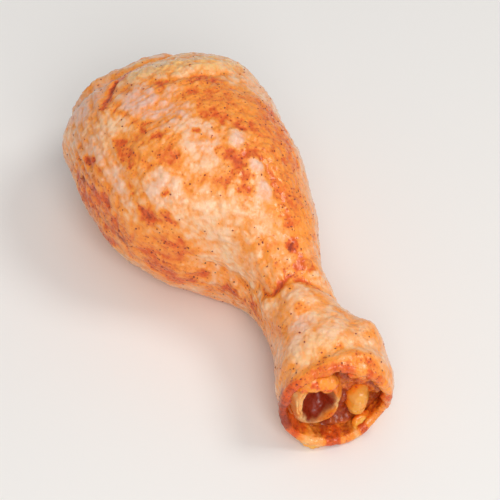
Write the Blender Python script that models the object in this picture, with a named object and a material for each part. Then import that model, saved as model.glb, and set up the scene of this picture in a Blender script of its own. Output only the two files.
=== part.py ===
"""A raw chicken drumstick lying on its side: a sleeve of skin, the leg meat in it, and the shank bone
and a tendon that run through the meat and show at the cut hock joint. Real size, in metres, +Z up.

The thick knee end points to -X and the cut hock joint to +X. The leg rests on its flattened underside
at z = 0, and the origin is on that flat spot. Every piece is a loft along one bent spine. The tables give, at named places along the spine,
the half-sizes of a piece's outline and how far its middle lies off the spine. Their numbers, and the
lengths in the functions below them, are millimetres. Angles round the spine run from +Y over the top.
"""

import math

import bmesh
import bpy
import numpy as np

MM = 0.001
TURN = 2 * math.pi

# ---- driving sizes -------------------------------------------------------------------------------
LENGTH = 111.0  # skin sleeve along the spine, knee edge to hock edge
REST = 36.0  # distance along the spine of the middle of the flat spot
SKIN = 1.6  # thickness of the skin
GAP = 0.35  # clear space between two pieces
TABLE = 0.0  # height of what the leg rests on
RECESS = 4.0  # how far the meat lies back from the hock edge
KNEE_BULGE = 7.0  # how far the meat stands out of the sleeve at the knee
ROUNDNESS = 2.25  # exponent of an outline: 2 is an ellipse, more is squarer

# The skin's outer form: distance, half-sizes to the left (-Y), right (+Y), top and bottom,
# then the spine's own y and z.
SKIN_STATIONS = (
    ("knee_edge", 0.0, 22.5, 14.5, 13.2, 15.0, 0.5, 21.0),
    ("knee_bend", 2.0, 25.5, 17.5, 16.0, 18.0, 0.5, 21.3),
    ("shoulder", 10.0, 28.5, 23.5, 21.2, 22.0, 0.5, 21.7),
    ("full_calf", 28.0, 32.0, 23.3, 23.7, 23.7, 0.8, 22.2),
    ("belly", 47.0, 26.8, 19.5, 22.6, 22.4, 1.0, 21.0),
    ("calf_end", 61.5, 13.1, 14.3, 18.5, 18.5, 0.9, 18.3),
    ("neck", 74.0, 9.0, 10.3, 13.0, 12.6, -0.8, 15.6),
    ("shank", 86.5, 9.6, 11.0, 11.8, 11.6, -2.3, 14.0),
    ("knuckle", 100.5, 14.0, 15.0, 13.7, 14.1, -4.6, 13.7),
    ("hock_edge", LENGTH, 14.8, 13.0, 12.5, 13.1, -8.0, 13.3),
)

# The bone and the tendon: distance, half-width, half-height, middle to the right of and above the
# spine.
BONE_STATIONS = (
    ("plateau", -7.5, 8.0, 6.5, 3.0, 1.5),
    ("plateau_rim", -6.0, 10.6, 8.6, 3.0, 1.5),
    ("head", -1.0, 10.4, 8.8, 2.8, 1.2),
    ("head_end", 9.0, 6.4, 6.0, 2.0, 0.5),
    ("shaft_start", 24.0, 4.3, 4.5, 0.8, 0.0),
    ("shaft", 56.0, 3.6, 4.0, -0.8, 0.0),
    ("shaft_end", 80.0, 3.8, 4.2, -1.4, 0.2),
    ("condyle_start", 92.0, 5.2, 6.0, -3.2, 0.0),
    ("condyle", 101.0, 6.5, 8.6, -4.7, -0.5),
    ("condyle_rim", 105.5, 6.2, 8.6, -4.9, -0.7),
    ("condyle_end", 107.0, 5.2, 7.5, -4.9, -0.7),
)
TENDON_STATIONS = (
    ("tip", 66.0, 0.6, 0.9, 5.0, 0.0),
    ("string", 74.0, 1.2, 1.8, 5.0, 0.0),
    ("strap", 86.0, 1.8, 3.2, 5.2, -0.6),
    ("pad", 98.0, 2.2, 4.0, 5.8, -2.2),
    ("pad_rim", 104.8, 2.1, 3.9, 5.4, -3.2),
    ("pad_end", 106.0, 1.4, 3.0, 5.4, -3.2),
)
MARROW_HOLLOW = (5.0, 4.1, 6.6)  # half-sizes of the hollow in the bone's end: deep, wide, high
MARROW_MIDDLE = (107.4, -4.7, -1.2)  # its middle: distance, to the right of and above the spine

# The crease where the skin of the calf folds over the shank: angle round the spine in degrees, and
# distance along it.
CREASE_ROUTE = ((30, 86.0), (66, 80.5), (96, 77.5), (128, 77.0), (146, 72.5), (170, 69.0), (195, 60.0))
CREASE_WIDTH = 3.2  # of the soft valley
CREASE_DEPTH = 1.1
FURROW_ROUTE = CREASE_ROUTE[:5]
FURROW_WIDTH = 1.2  # of the sharp line in the valley
FURROW_DEPTH = 0.5
# Lobes of skin below the crease: distance, angle in degrees, length, width, height.
LOBES = (
    ("large_lobe", 85.0, 103.0, 2.8, 4.0, 1.1),
    ("small_lobe", 78.5, 146.0, 1.9, 2.4, 1.1),
)
# The cuff's fold near the hock edge, like the crease.
CUFF_ROUTE = ((20, 101.5), (60, 103.0), (94, 104.0), (125, 105.0), (160, 104.5), (200, 103.0))
CUFF_WIDTH = 1.6
CUFF_DEPTH = 0.8
# The flap of skin over the upper left of the knee end: where its free edge runs, and its height.
FLAP_ANGLE = 138.0
FLAP_END = 26.0
FLAP_HEIGHT = 1.2

# ---- mesh density --------------------------------------------------------------------------------
AROUND = 42
SKIN_STEP = 2.8  # between the rings of the skin's outside
INNER_STEP = 6.5  # between the rings of its inside and of the meat
KNEE_RINGS = (0.0, 2.0, 5.0)  # its closer rings round the bend of the knee edge
EDGE_REACH = 12.0  # how far in from an edge its waves are felt
STRAND_STEP = 9.0  # most between the rings of the bone and the tendon
BONE_AROUND = 16
TENDON_AROUND = 12

COLOURS = {
    "skin": (0.84, 0.40, 0.16),
    "meat": (0.40, 0.08, 0.03),
    "bone": (0.78, 0.56, 0.33),
    "tendon": (0.72, 0.36, 0.09),
}
ROUGHNESS = {"skin": 0.35, "meat": 0.3, "bone": 0.4, "tendon": 0.3}


# ---- curves and rings ----------------------------------------------------------------------------
def hermite(places, values, at):
    """A smooth curve through (places, values), read at the numbers in at."""
    slopes = np.gradient(values, places)
    k = np.clip(np.searchsorted(places, at, side="right") - 1, 0, len(places) - 2)
    width = places[k + 1] - places[k]
    t = (at - places[k]) / width
    a, b = values[k], values[k + 1]
    rise = b - a
    start = slopes[k] * width
    end = slopes[k + 1] * width
    return a + t * start + t**2 * (3 * rise - 2 * start - end) + t**3 * (start + end - 2 * rise)


def column(stations, index):
    return np.array([row[index] for row in stations], float)


def read(stations, index, along):
    """One column of a table of stations, read smoothly at these distances."""
    return hermite(column(stations, 1), column(stations, index), along)


def bell(distance, width):
    return np.exp(-0.5 * (distance / width) ** 2)


def smooth_step(value):
    t = np.clip(value, 0, 1)
    return t * t * (3 - 2 * t)


def nearest_turn(angle, middle):
    """The same angles, written within half a turn of the middle."""
    return middle + (angle - middle + TURN / 2) % TURN - TURN / 2


def spine(along):
    """Centre, sideways and upward vectors of the spine at these distances."""
    step = 0.01
    y = read(SKIN_STATIONS, 6, along)
    z = read(SKIN_STATIONS, 7, along)
    dy = (read(SKIN_STATIONS, 6, along + step) - y) / step
    centre = np.stack([along - REST, y, z], -1)
    ahead = np.stack([np.ones_like(dy), dy, np.zeros_like(dy)], -1)
    ahead /= np.linalg.norm(ahead, axis=-1, keepdims=True)
    up = np.broadcast_to([0.0, 0.0, 1.0], ahead.shape)
    return centre, np.cross(up, ahead), up


def outline(sizes, angle):
    """Distance from the spine to a ring's outline, given its half-sizes left, right, top, bottom."""
    left, right, top, bottom = sizes
    across = np.where(np.cos(angle) > 0, right, left)
    upright = np.where(np.sin(angle) > 0, top, bottom)
    n = ROUNDNESS
    return ((np.abs(np.cos(angle)) / across) ** n + (np.abs(np.sin(angle)) / upright) ** n) ** (-1 / n)


def on_ring(along, angle, radius, right=0.0, above=0.0):
    """Points at these radii round a line that lies off the spine by right and above."""
    centre, side, up = spine(along)
    across = right + radius * np.cos(angle)
    height = above + radius * np.sin(angle)
    return centre + side * across[..., None] + up * height[..., None]


def grid(places, around):
    return np.meshgrid(places, np.arange(around) * TURN / around, indexing="ij")


def evenly(start, end, step):
    return np.linspace(start, end, max(2, round((end - start) / step) + 1))


# ---- the skin's relief ---------------------------------------------------------------------------
def valley(along, angle, route, width):
    """A groove across the leg along a route, 1 at its bottom, which fades out past both its ends."""
    places = np.radians([turn for turn, _ in route])
    angle = nearest_turn(angle, (places[0] + places[-1]) / 2)
    route_along = np.interp(angle, places, [place for _, place in route])
    fade = smooth_step((angle - places[0]) / 0.4 + 1) * smooth_step((places[-1] - angle) / 0.4 + 1)
    return bell(along - route_along, width) * fade


def lobes(along, angle):
    height = np.zeros_like(along)
    radius = outline([read(SKIN_STATIONS, index, along) for index in (2, 3, 4, 5)], angle)
    for _, place, turn, length, width, tall in LOBES:
        middle = math.radians(turn)
        across = (nearest_turn(angle, middle) - middle) * radius
        height += tall * bell(along - place, length) * bell(across, width)
    return height


def flap(along, angle):
    """A step up at the flap's free edge, which sinks back into the flank below it."""
    past = (np.degrees(angle) - FLAP_ANGLE) / 4
    rise = smooth_step(past + 0.5) * smooth_step(1 - past / 12)
    return FLAP_HEIGHT * rise * smooth_step(1 - along / FLAP_END)


def form(along, angle):
    """Radius of the skin's outside without its sharp lines; its inside and the meat follow it."""
    radius = outline([read(SKIN_STATIONS, index, along) for index in (2, 3, 4, 5)], angle)
    return radius - CREASE_DEPTH * valley(along, angle, CREASE_ROUTE, CREASE_WIDTH)


def outside(along, angle):
    """Radius of the skin's outside."""
    radius = form(along, angle) + lobes(along, angle) + flap(along, angle)
    radius -= FURROW_DEPTH * valley(along, angle, FURROW_ROUTE, FURROW_WIDTH)
    return radius - CUFF_DEPTH * valley(along, angle, CUFF_ROUTE, CUFF_WIDTH)


def with_edge_waves(along, angle):
    """Distances moved in from the sleeve's two edges, which are torn at the knee, cut at the hock."""
    torn = 1.1 + 0.7 * np.sin(2 * angle + 0.4) + 0.4 * np.sin(5 * angle + 1.0)
    cut = 1.7 + 1.5 * np.sin(angle) - 1.5 * np.cos(angle) + 0.3 * np.sin(4 * angle + 0.5)
    corner = math.radians(325)
    cut += 4.8 * bell(nearest_turn(angle, corner) - corner, 0.42)
    near_knee = np.clip(1 - along / EDGE_REACH, 0, 1)
    near_hock = np.clip(1 - (LENGTH - along) / EDGE_REACH, 0, 1)
    return along + torn * near_knee - cut * near_hock


def skin_surface(along, angle):
    """Points of the skin's outside, flattened where it rests."""
    along = with_edge_waves(along, angle)
    point = on_ring(along, angle, outside(along, angle))
    point[..., 2] = np.maximum(point[..., 2], TABLE)
    return point


def under_skin(along, angle, depth):
    """Points at this depth below the skin's form."""
    point = on_ring(along, angle, form(along, angle) - depth)
    point[..., 2] = np.maximum(point[..., 2], TABLE + depth)
    return point


# ---- meshes --------------------------------------------------------------------------------------
def loft(name, rings, collection, closed_rows=False):
    """A mesh object from rings of points in millimetres, capped unless the rows join up."""
    mesh = bmesh.new()
    rows = [[mesh.verts.new(point * MM) for point in ring] for ring in rings]
    pairs = list(zip(rows, rows[1:]))
    if closed_rows:
        pairs.append((rows[-1], rows[0]))
    for near, far in pairs:
        for k in range(len(near)):
            after = (k + 1) % len(near)
            mesh.faces.new((near[k], near[after], far[after], far[k]))
    if not closed_rows:
        mesh.faces.new(rows[0])
        mesh.faces.new(rows[-1])
    bmesh.ops.recalc_face_normals(mesh, faces=mesh.faces)
    bmesh.ops.triangulate(mesh, faces=mesh.faces, quad_method="SHORT_EDGE")
    data = bpy.data.meshes.new(name)
    mesh.to_mesh(data)
    mesh.free()
    data.shade_smooth()
    data.set_sharp_from_angle(angle=math.radians(50))
    made = bpy.data.objects.new(name, data)
    collection.objects.link(made)
    return made


def finish(made):
    material = bpy.data.materials.new(made.name)
    material.use_nodes = True
    surface = material.node_tree.nodes["Principled BSDF"]
    surface.inputs["Base Color"].default_value = (*COLOURS[made.name], 1.0)
    surface.inputs["Roughness"].default_value = ROUGHNESS[made.name]
    surface.inputs["Metallic"].default_value = 0.0
    made.data.materials.append(material)


def subtract(body, cutter):
    cutter.hide_render = True
    cutter.display_type = "WIRE"
    cut = body.modifiers.new("cut_" + cutter.name, "BOOLEAN")
    cut.operation = "DIFFERENCE"
    cut.object = cutter


# ---- the pieces ----------------------------------------------------------------------------------
def inner_places():
    """Distances of the rings that the skin's inside shares with the meat."""
    return np.append(KNEE_RINGS, evenly(KNEE_RINGS[-1] + INNER_STEP, LENGTH, INNER_STEP))


def layer(places, depth):
    along, angle = grid(places, AROUND)
    return under_skin(with_edge_waves(along, angle), angle, depth)


def make_skin(collection):
    """The sleeve: its outside from knee to hock, then its inside back, with rounded edges."""
    lip = SKIN * 0.4
    outer = skin_surface(*grid(evenly(0, LENGTH, SKIN_STEP), AROUND))
    inner = layer(inner_places(), SKIN)
    hock_lip = layer([LENGTH + lip], SKIN / 2)
    knee_lip = layer([-lip], SKIN / 2)
    return loft("skin", [*outer, *hock_lip, *inner[::-1], *knee_lip], collection, closed_rows=True)


def make_meat(collection):
    """The meat: under the skin up to its recess at the hock, and a bulge out of the knee end."""
    places = inner_places()
    places = np.append(places[places < LENGTH - RECESS - 2], LENGTH - RECESS)
    sleeve = layer(places, SKIN + GAP)
    return loft("meat", [*dome(sleeve[0], KNEE_BULGE), *sleeve, *dome(sleeve[-1], 0)[::-1]], collection)


def dome(ring, bulge):
    """Rings that close a ring to a small flat end, moved back along -X by up to the bulge."""
    middle = ring.mean(axis=0)
    turns = np.array([0.93, 0.75, 0.55, 0.3]) * TURN / 4
    rings = [middle + (ring - middle) * math.cos(turn) ** 0.7 for turn in turns]
    for closed, turn in zip(rings, turns):
        closed[:, 0] -= bulge * math.sin(turn)
    return rings


def strand_places(places):
    """The distances of the stations, with further ones where two lie far apart."""
    runs = [evenly(start, end, STRAND_STEP)[:-1] for start, end in zip(places, places[1:])]
    return np.append(np.concatenate(runs), places[-1])


def strand_rings(stations, around, swell=0.0, past=0.0):
    """Rings of the bone or the tendon, swollen all round and lengthened at both ends as asked."""
    rows = strand_places(column(stations, 1))
    along, angle = grid(rows, around)
    wide = read(stations, 2, along) + swell
    high = read(stations, 3, along) + swell
    radius = outline((wide, wide, high, high), angle)
    along = along + past * np.where(along == rows[0], -1, 0) + past * np.where(along == rows[-1], 1, 0)
    return on_ring(along, angle, radius, read(stations, 4, along), read(stations, 5, along))


def make_bone(collection, cutters):
    bone = loft("bone", strand_rings(BONE_STATIONS, BONE_AROUND), collection)
    deep, wide, high = MARROW_HOLLOW
    place, right, above = MARROW_MIDDLE
    turns = np.linspace(0.04, 0.96, 9) * math.pi
    rings = []
    for turn in turns:
        along, angle = grid(np.array([place - deep * math.cos(turn)]), BONE_AROUND)
        size = math.sin(turn)
        radius = outline((wide * size, wide * size, high * size, high * size), angle)
        rings.append(on_ring(along, angle, radius, right, above)[0])
    subtract(bone, loft("marrow_hollow", rings, cutters))
    return bone


def main():
    for old in list(bpy.data.objects):
        bpy.data.objects.remove(old)
    drumstick = bpy.data.collections.new("raw_chicken_drumstick")
    cutters = bpy.data.collections.new("cutters")
    bpy.context.scene.collection.children.link(drumstick)
    bpy.context.scene.collection.children.link(cutters)

    skin = make_skin(drumstick)
    meat = make_meat(drumstick)
    bone = make_bone(drumstick, cutters)
    tendon = loft("tendon", strand_rings(TENDON_STATIONS, TENDON_AROUND), drumstick)
    for stations, around, name in (
        (BONE_STATIONS, BONE_AROUND, "bone_channel"),
        (TENDON_STATIONS, TENDON_AROUND, "tendon_channel"),
    ):
        subtract(meat, loft(name, strand_rings(stations, around, GAP, GAP), cutters))
    for made in (skin, meat, bone, tendon):
        finish(made)


main()
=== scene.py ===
import itertools
import math
from collections import namedtuple

import bmesh
import bpy
import numpy as np
from mathutils import Matrix, Vector


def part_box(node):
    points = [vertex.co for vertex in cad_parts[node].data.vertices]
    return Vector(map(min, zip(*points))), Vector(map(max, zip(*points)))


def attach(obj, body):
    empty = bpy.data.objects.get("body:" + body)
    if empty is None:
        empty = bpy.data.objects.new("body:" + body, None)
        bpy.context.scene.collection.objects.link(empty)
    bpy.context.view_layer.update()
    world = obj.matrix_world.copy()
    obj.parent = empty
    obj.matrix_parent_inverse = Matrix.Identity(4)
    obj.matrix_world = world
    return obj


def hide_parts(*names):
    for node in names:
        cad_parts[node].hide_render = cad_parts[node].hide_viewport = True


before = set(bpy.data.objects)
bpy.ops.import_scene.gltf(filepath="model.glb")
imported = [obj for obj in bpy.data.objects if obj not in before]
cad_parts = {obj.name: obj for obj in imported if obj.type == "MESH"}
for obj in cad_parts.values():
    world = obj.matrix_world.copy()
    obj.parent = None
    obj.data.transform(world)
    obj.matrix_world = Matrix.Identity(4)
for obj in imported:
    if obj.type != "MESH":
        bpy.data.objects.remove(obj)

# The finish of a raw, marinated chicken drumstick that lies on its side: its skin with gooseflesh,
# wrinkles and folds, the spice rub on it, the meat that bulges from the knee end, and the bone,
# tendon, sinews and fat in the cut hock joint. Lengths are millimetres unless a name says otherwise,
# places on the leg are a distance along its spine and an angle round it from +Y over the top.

TURN = 2 * math.pi
BODY = "root"
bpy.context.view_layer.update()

# ---- the leg's form, as the solids have it -------------------------
LENGTH = 111.0
REST = 36.0  # distance of the flat spot's middle
SKIN = 1.6  # the skin's thickness
GAP = 0.35
RECESS = 4.0  # from the cut edge in to the meat
KNEE_BULGE = 7.0
ROUNDNESS = 2.25  # 2 is an ellipse, more is squarer
EDGE_REACH = 12.0  # how far in from an edge its waves are felt
HOOD_TURN = 110  # where the hood of skin over the knee is longest, in degrees
HOOD_REACH = 8.0
HOOD_BULGE = 7.0
SEEN_TURN = 120  # the middle of the side whose marks are listed; marinade on the far side is left to chance
# Distance, half-sizes to the left (-Y), right (+Y), top and bottom, then the spine's own y and z.
SKIN_STATIONS = (
    ("knee_edge", 0.0, 22.5, 14.5, 13.2, 15.0, 0.5, 21.0),
    ("knee_bend", 2.0, 25.5, 17.5, 16.0, 18.0, 0.5, 21.3),
    ("shoulder", 10.0, 28.5, 23.5, 21.2, 22.0, 0.5, 21.7),
    ("full_calf", 28.0, 32.0, 23.3, 23.7, 23.7, 0.8, 22.2),
    ("belly", 47.0, 26.8, 19.5, 22.6, 22.4, 1.0, 21.0),
    ("calf_end", 61.5, 13.1, 14.3, 18.5, 18.5, 0.9, 18.3),
    ("neck", 74.0, 9.0, 10.3, 13.0, 12.6, -0.8, 15.6),
    ("shank", 86.5, 9.6, 11.0, 11.8, 11.6, -2.3, 14.0),
    ("knuckle", 100.5, 14.0, 15.0, 13.7, 14.1, -4.6, 13.7),
    ("hock_edge", LENGTH, 14.8, 13.0, 12.5, 13.1, -8.0, 13.3),
)
# Distance, half-width, half-height, middle to the right of and above the spine.
BONE_STATIONS = (
    ("plateau", -7.5, 8.0, 6.5, 3.0, 1.5),
    ("plateau_rim", -6.0, 10.6, 8.6, 3.0, 1.5),
    ("head", -1.0, 10.4, 8.8, 2.8, 1.2),
    ("head_end", 9.0, 6.4, 6.0, 2.0, 0.5),
    ("shaft_start", 24.0, 4.3, 4.5, 0.8, 0.0),
    ("shaft", 56.0, 3.6, 4.0, -0.8, 0.0),
    ("shaft_end", 80.0, 3.8, 4.2, -1.4, 0.2),
    ("condyle_start", 92.0, 5.2, 6.0, -3.2, 0.0),
    ("condyle", 101.0, 6.5, 8.6, -4.7, -0.5),
    ("condyle_rim", 105.5, 6.2, 8.6, -4.9, -0.7),
    ("condyle_end", 107.0, 5.2, 7.5, -4.9, -0.7),
)
TENDON_STATIONS = (
    ("tip", 66.0, 0.6, 0.9, 5.0, 0.0),
    ("string", 74.0, 1.2, 1.8, 5.0, 0.0),
    ("strap", 86.0, 1.8, 3.2, 5.2, -0.6),
    ("pad", 98.0, 2.2, 4.0, 5.8, -2.2),
    ("pad_rim", 104.8, 2.1, 3.9, 5.4, -3.2),
    ("pad_end", 106.0, 1.4, 3.0, 5.4, -3.2),
)
CREASE_ROUTE = ((30, 86.0), (66, 80.5), (96, 77.5), (128, 77.0), (146, 72.5), (170, 69.0), (195, 60.0))
CREASE_WIDTH = 3.2
CREASE_DEPTH = 1.1
FURROW_ROUTE = CREASE_ROUTE[:5]
FURROW_WIDTH = 1.2
FURROW_DEPTH = 0.5
LOBES = {"large lobe": ((85.0, 103.0, 2.8, 4.0, 1.1),), "small lobe": ((78.5, 146.0, 1.9, 2.4, 1.1),)}
CUFF_ROUTE = ((20, 101.5), (60, 103.0), (94, 104.0), (125, 105.0), (160, 104.5), (200, 103.0))
CUFF_WIDTH = 1.6
CUFF_DEPTH = 0.8
FLAP_ANGLE = 138.0
FLAP_END = 26.0
FLAP_HEIGHT = 1.2

# ---- how finely the pieces are cut, and other measures -------------
SKIN_AROUND = 304
SKIN_ROWS = 256
RIM_ROWS = 6
WALL_ROWS = 56
MEAT_AROUND = 200
BONE_AROUND = 128
TENDON_AROUND = 64
STORED_SHARE = 0.7  # the marinade layer holds amounts up to 1 / 0.7
WET_IOR = 1.4
SCATTER_REACH = 1.3
RED_FLAKES = 1.4e5  # flakes on a square metre of full rub
DARK_FLAKES = 2.0e3
FLAKE_SIZE_M = 0.0006
FLOOR_CLEARANCE = 0.1  # of the fat at the cut, over the floor

# ---- what is laid on, one by one -----------------------------------
# Blots, by area: distance, angle in degrees, half-length, half-width, strength.
# Pigment blots are marinade marks; those on the left flank and left edge also carry painted shadow.
PIGMENT_AND_SHADOW_BLOTS = {
    "knee rim": (
        (4.5, 121, 2.4, 5, 0.85), (6, 108, 1.6, 2.4, 0.55), (18.2, 107, 2.2, 1.8, 0.55),
        (20.8, 94, 2, 2.4, 0.6), (23, 78, 2.2, 2.6, 0.7),
    ),
    "rear patch": (
        (24.5, 95, 4, 3.6, 0.16), (29.5, 84, 5.5, 6, 0.18), (34, 70, 5, 6, 0.14),
        (27, 95, 1.8, 1.4, 0.55), (35.6, 91, 2.6, 1.5, 0.6),
    ),
    "left blots": ((27.5, 143, 2.2, 2, 0.75), (30.6, 145, 2.6, 2.4, 0.9), (34.5, 147, 1.8, 1.6, 0.6)),
    "middle": ((39.4, 131, 3.2, 3.2, 0.3), (37.1, 109, 1.1, 0.9, 0.85)),
    "cluster": (
        (39, 101, 1.2, 1.1, 0.6), (49.6, 97, 2.3, 1.7, 1), (48.2, 89, 1.3, 2.2, 0.85),
        (56.6, 104, 1.6, 1.6, 0.5), (40.8, 84, 1.6, 1.4, 0.75), (49.7, 85, 1.6, 1.5, 0.85),
        (53.5, 99, 1.9, 1.5, 0.85),
    ),
    "ring": ((45.7, 143, 1.2, 1.1, 0.9), (44.6, 159, 3, 2, 0.85), (49, 153, 1.8, 1.2, 0.55)),
    # left flank and left edge: brown-red marinade strokes, darkened further as painted shadow over the
    # flank
    "left flank": (
        (48.5, 183, 4, 6, 0.55), (52, 170, 2.4, 3.6, 0.45), (30.8, 170, 4.6, 1.6, 0.85),
        (41.9, 181, 4, 2.2, 0.7), (36, 184, 5, 1.8, 0.6), (22, 178, 7, 3, 0.75), (30, 194, 9, 4, 0.6),
    ),
    "left edge": (
        (56.8, 192, 3.2, 2, 0.8), (53.5, 203, 3.4, 2.4, 0.7), (65, 200, 4, 1.8, 0.75),
        (73, 190, 4, 1.8, 0.8),
    ),
    "flank folds": (
        (28.2, 172, 3.4, 1.2, 0.7), (21.5, 161, 3, 1.1, 0.7), (34.5, 173, 3, 1.2, 0.6),
        (51.6, 167, 3, 2.6, 0.5),
    ),
    # thin washes: the first two are painted shadow over the left flank and its underside, the third a
    # faint marinade wash
    "thin washes": ((32, 183, 17, 9, 0.36), (62, 200, 12, 5, 0.38), (40, 132, 11, 11, 0.1)),
    "right side": (
        (43.5, 73, 3, 1.6, 0.6), (52, 67, 6, 4, 0.12), (60, 78, 3.6, 2, 0.4), (66, 81, 2.6, 2, 0.6),
        (71, 82, 1.5, 2, 1), (40, 50, 9, 4, 0.6), (47, 64, 15, 6, 0.32),
    ),
    "shank": ((76, 74, 1.6, 3, 0.7), (88, 104, 1.2, 2.4, 0.45)),
    "cuff": ((108, 152, 2, 4, 0.7), (108.5, 112, 1.6, 5, 0.12), (107, 50, 1.4, 2.4, 0.5)),
    "cut edge": ((109, 190, 3, 7, 0.95), (109.5, 264, 2.6, 1.7, 0.8), (108, 303, 2.4, 2, 0.6)),
}
OIL_AND_SHADOW_BLOTS = {
    "rear patch": ((25, 95, 5, 5, 0.9), (30, 83, 7, 7.5, 1), (35, 68, 7, 7, 1)),
    "right side": ((46, 66, 17, 9, 1), (62, 66, 12, 7, 0.85)),
    "middle": ((31, 143, 5, 4, 0.7), (39.4, 131, 4.4, 4.2, 0.8), (51, 116, 2.6, 7, 0.6)),
    "calf front": ((67, 112, 7, 9, 0.45), (64, 150, 6, 6, 0.35)),
    # left flank: oil laid on thicker as painted shadow over the flank
    "left flank": ((48, 180, 9, 9, 0.7), (28, 178, 15, 8, 0.8)),
    "shank": (
        (80, 172, 4, 3.6, 0.6), (85.5, 150, 4.4, 3.6, 0.85), (91, 138, 3.4, 2.6, 0.6),
        (84, 200, 12, 6, 0.6), (95, 58, 8, 6, 0.4),
    ),
    "cuff": ((108, 125, 3, 14, 0.6), (107, 60, 3, 8, 0.6), (108, 185, 5, 9, 0.8)),
}
BARE_AND_SHEEN_BLOTS = {
    "knee rim": (
        (10, 109, 3.6, 4.4, 0.85), (12, 92, 3.8, 6, 1), (15, 74, 3.8, 6, 0.9), (17, 58, 3.4, 5, 0.6),
    ),
    # grey sheen: less marinade on the top, partly painted sheen
    "grey sheen": ((19.5, 121, 6.5, 4.8, 1), (26.5, 113, 6, 5.4, 0.95), (22.5, 101, 2.6, 2.6, 0.6)),
    "flap": ((4.5, 147, 5, 5, 0.85), (16, 142, 6, 3, 0.5)),
    "left flank": ((33, 154, 6, 2.6, 0.7), (36.5, 170, 4, 1.3, 0.7)),
    "middle": ((37, 111, 4.4, 4.2, 0.9), (43.5, 113, 5, 4.6, 0.95), (39, 73, 2.8, 2, 0.6)),
    "ring": ((44.3, 143, 4.2, 4.2, 1),),
    "calf front": (
        (54.5, 128, 5, 7, 0.85), (59.5, 138, 6, 8, 0.95), (60.5, 117, 3.6, 4, 0.6),
        (60, 188, 5, 5, 0.6),
    ),
    "lobes": ((82.5, 101, 4.4, 5.2, 0.8), (77.5, 150, 2.4, 2.6, 0.85)),
    "shank": ((93, 112, 5, 3.6, 0.6), (98.5, 127, 5, 4.6, 1), (102, 95, 2.6, 4.6, 0.5)),
    "thin washes": ((90, 108, 12, 14, 0.52), (62, 122, 9, 12, 0.56)),
    "cut edge": ((109.5, 247, 3.4, 3.4, 1), (109.5, 279, 3, 1.6, 0.9), (107.5, 290, 3, 2, 0.9)),
}
# Pale blots: on the cluster lumps pale fat and partly painted highlight; on the ring a pale patch.
PALE_AND_HIGHLIGHT_BLOTS = {
    "cluster lumps": ((43.9, 90.5, 2.3, 2, 1), (52.2, 88.5, 2.1, 1.8, 1), (58.7, 91.5, 2.4, 1.9, 0.85)),
    "ring": (
        (43.5, 148, 2.2, 1.6, 0.8), (42.6, 139, 2, 1.6, 0.8), (48.3, 140, 1.8, 1.5, 0.7),
        (48, 148, 1.5, 1.4, 0.6),
    ),
}
# Grey blots: the skin's grey-pink tone; on the grey sheen area and the cluster lumps partly painted
# sheen.
GREY_AND_SHEEN_BLOTS = {
    "grey sheen": ((19.5, 121, 7, 5.6, 0.95), (26.5, 113, 6.5, 6, 0.9)),
    "flap": ((5, 148, 7, 6, 0.8),),
    "cluster lumps": (
        (43.9, 90.5, 2.6, 2.2, 0.7), (52.2, 88.5, 2.4, 2, 0.7), (58.7, 91.5, 2.6, 2, 0.7),
    ),
    "middle": ((44.8, 143, 4, 4, 0.45), (40, 108, 6, 4, 0.4)),
    "left flank": ((26, 160, 14, 5, 0.5),),
    "shank": ((92, 116, 4, 3, 0.6), (97.5, 127, 4, 4, 0.35)),
    "calf underside": ((62, 200, 8, 6, 0.4),),
    "cut edge": ((109.5, 279, 3, 1.8, 0.9),),
}
FAT_BLOTS = {
    "hood": ((-1, 104, 6, 7, 0.9), (2, 84, 7, 6, 0.9)),
    "knee rim": ((10, 108, 4, 5, 0.8), (12, 90, 4.2, 7, 1), (15, 70, 4.2, 8, 1), (16, 40, 5, 12, 0.7)),
    "right side": ((39, 73, 3.2, 2.4, 0.8),),
    "shank end": ((100, 122, 4, 5, 0.5), (103, 94, 3, 5, 0.5)),
    "cut edge": ((109.5, 247, 4, 4, 1), (107.5, 290, 3, 2.4, 0.9)),
}
# Streaks: points (distance, angle in degrees), half-width, strength.
PIGMENT_AND_SHADE_STREAKS = (
    ("under_rim", ((15, 116), (18.5, 107), (21, 94), (23, 79), (25, 66)), 0.8, 0.5),
    # flap_crease: marinade in the crease under the flap, with painted shade along it
    ("flap_crease", ((2, 122), (6.3, 124), (8.5, 131), (12.6, 138), (15, 141)), 0.8, 0.95),
    ("flap_crease_low", ((13, 139), (19, 134), (25, 131), (31, 133)), 0.6, 0.5),
    ("cluster", ((43, 104), (46.8, 101), (50.1, 98), (53.5, 98)), 1.5, 1),
    ("rear_rim", (
        (19, 93), (24, 96), (28, 95.5), (31, 97.5),
        (34, 97.5), (36.5, 90), (39, 80),
    ), 0.8, 0.65),
    ("grey_arc", ((25, 131), (28.6, 124), (28.6, 115), (33, 109)), 0.45, 0.5),
    ("left_streak", ((31, 131), (33.4, 126), (34.8, 121.5)), 0.75, 0.85),
    ("top_streak", ((47, 126), (51, 118), (54, 108)), 1.5, 0.55),
    ("arc_under_ring", ((33, 150), (39.5, 157), (45, 160), (49.5, 154)), 0.8, 0.6),
    ("arc_over_ring", ((38, 148), (40.5, 139), (45.5, 131)), 0.6, 0.5),
    # crease: marinade pooled in the crease, with painted shade along it
    ("crease", (
        (71.5, 149), (75.5, 141), (77, 129), (77.2, 112),
        (77, 96), (79, 84), (82, 70), (84, 54),
    ), 1.3, 0.85),
    ("shank_strip", ((78, 182), (82, 164), (86, 148), (91, 133)), 1.6, 0.12),
    ("cuff_line", ((102, 76), (103.5, 92), (105.5, 108), (107.5, 124), (108.5, 140)), 0.8, 0.5),
)
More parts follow.
